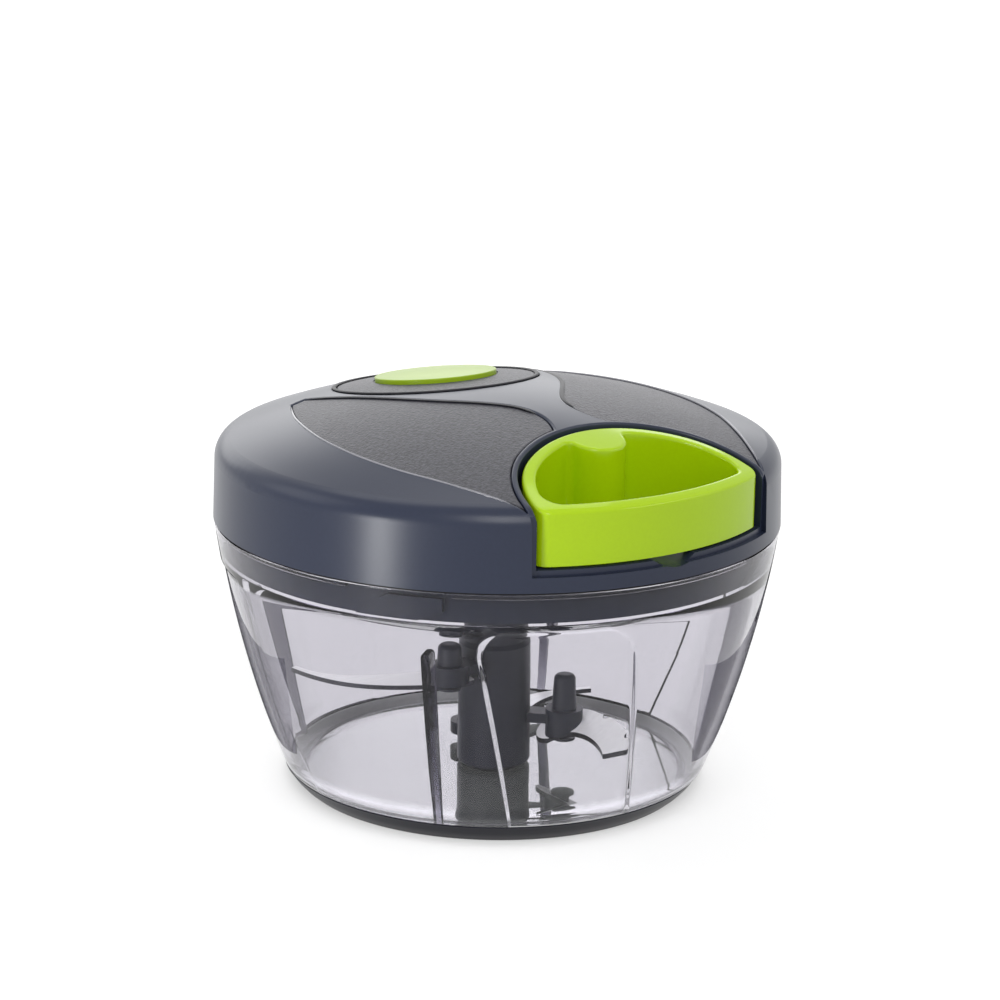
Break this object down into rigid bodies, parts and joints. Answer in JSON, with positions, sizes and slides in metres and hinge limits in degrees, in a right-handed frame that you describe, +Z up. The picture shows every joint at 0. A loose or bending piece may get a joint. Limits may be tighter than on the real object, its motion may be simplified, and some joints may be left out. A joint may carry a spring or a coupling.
{
  "type": "pull cord food chopper",
  "caption": "Clear round chopping bowl under a domed lid whose finger loop pulls a cord that spins a bladed shaft inside.",
  "frame": {"origin": "centre of the foot, on the surface that it stands on", "axes": "+Z up, -Y the way the handle pulls, +X to the right seen from the handle's side"},
  "size_m": [0.125, 0.125, 0.0897],
  "materials": {
    "clear_plastic": "clear, glossy",
    "soft_ring": "dark slate, satin",
    "seal_rubber": "black, soft",
    "slate_gloss": "slate, glossy",
    "slate_satin": "dark slate, satin",
    "slate_grain": "slate, fine grain",
    "green_gloss": "lime green, glossy",
    "shaft_plastic": "dark slate, satin",
    "works_plastic": "natural acetal",
    "blade_steel": "polished, ground edge",
    "spring_steel": "blued strip",
    "steel": "bright",
    "cord_fibre": "pale braided cord"
  },
  "bodies": {
    "bowl": {"bowl": "clear_plastic", "base_ring": "soft_ring", "pivot_pin": "steel"},
    "seal": {"lid_seal": "seal_rubber"},
    "lid": {"lid_base": "slate_satin", "lid_cover": "slate_gloss", "grip_pad_left": "slate_grain", "grip_pad_right": "slate_grain", "disc_panel": "slate_grain", "top_cap": "green_gloss", "lid_screws": "steel", "centre_axle": "steel", "axle_clip": "steel", "cord_eyelet": "steel", "cord_lead": "cord_fibre", "return_spring": "spring_steel"},
    "handle": {"pull_handle": "green_gloss", "cord_end": "cord_fibre"},
    "reel": {"spool": "works_plastic", "wound_cord": "cord_fibre", "spring_cap": "works_plastic", "pawl_pins": "steel"},
    "pawl_a": {"pawl_1": "works_plastic"},
    "pawl_b": {"pawl_2": "works_plastic"},
    "pawl_c": {"pawl_3": "works_plastic"},
    "hub": {"drive_hub": "works_plastic"},
    "blades": {"blade_shaft": "shaft_plastic", "blade_upper": "blade_steel", "blade_middle": "blade_steel", "blade_lower": "blade_steel", "peg_upper": "shaft_plastic", "peg_middle": "shaft_plastic", "peg_lower": "shaft_plastic"}
  },
  "joints": [
    {"name": "lid_lift", "type": "slide", "parent": "bowl", "child": "seal", "axis": [0, 0, 1], "range_m": [0, 0.1]},
    {"name": "lid_twist", "type": "hinge", "parent": "seal", "child": "lid", "pos_m": [0, 0, 0.0607], "axis": [0, 0, 1], "range_deg": [-20, 0]},
    {"name": "handle_pull", "type": "slide", "parent": "lid", "child": "handle", "axis": [0, -1, 0], "range_m": [0, 0.38], "stiffness_N_per_m": 20, "springref_m": -0.1},
    {"name": "reel_spin", "type": "hinge", "parent": "lid", "child": "reel", "pos_m": [0, 0, 0.074], "axis": [0, 0, 1], "range_deg": [0, 1112]},
    {"name": "hub_spin", "type": "hinge", "parent": "lid", "child": "hub", "pos_m": [0, 0, 0.061], "axis": [0, 0, 1], "range_deg": [0, 1112]},
    {"name": "blade_spin", "type": "hinge", "parent": "bowl", "child": "blades", "pos_m": [0, 0, 0.02], "axis": [0, 0, 1], "range_deg": [0, 1112]},
    {"name": "pawl_swing_a", "type": "hinge", "parent": "reel", "child": "pawl_a", "pos_m": [0, -0.011, 0.0656], "axis": [0, 0, 1], "range_deg": [0, 13], "stiffness_Nm_per_rad": 0.0005, "springref_deg": -5.73},
    {"name": "pawl_swing_b", "type": "hinge", "parent": "reel", "child": "pawl_b", "pos_m": [0.00953, 0.0055, 0.0656], "axis": [0, 0, 1], "range_deg": [0, 13], "stiffness_Nm_per_rad": 0.0005, "springref_deg": -5.73},
    {"name": "pawl_swing_c", "type": "hinge", "parent": "reel", "child": "pawl_c", "pos_m": [-0.00953, 0.0055, 0.0656], "axis": [0, 0, 1], "range_deg": [0, 13], "stiffness_Nm_per_rad": 0.0005, "springref_deg": -5.73}
  ],
  "couplings": [
    {"joint": "reel_spin", "follows": "handle_pull", "rad_per_m": 51.02},
    {"joint": "hub_spin", "follows": "handle_pull", "rad_per_m": 51.02},
    {"joint": "blade_spin", "follows": "handle_pull", "rad_per_m": 51.02}
  ]
}
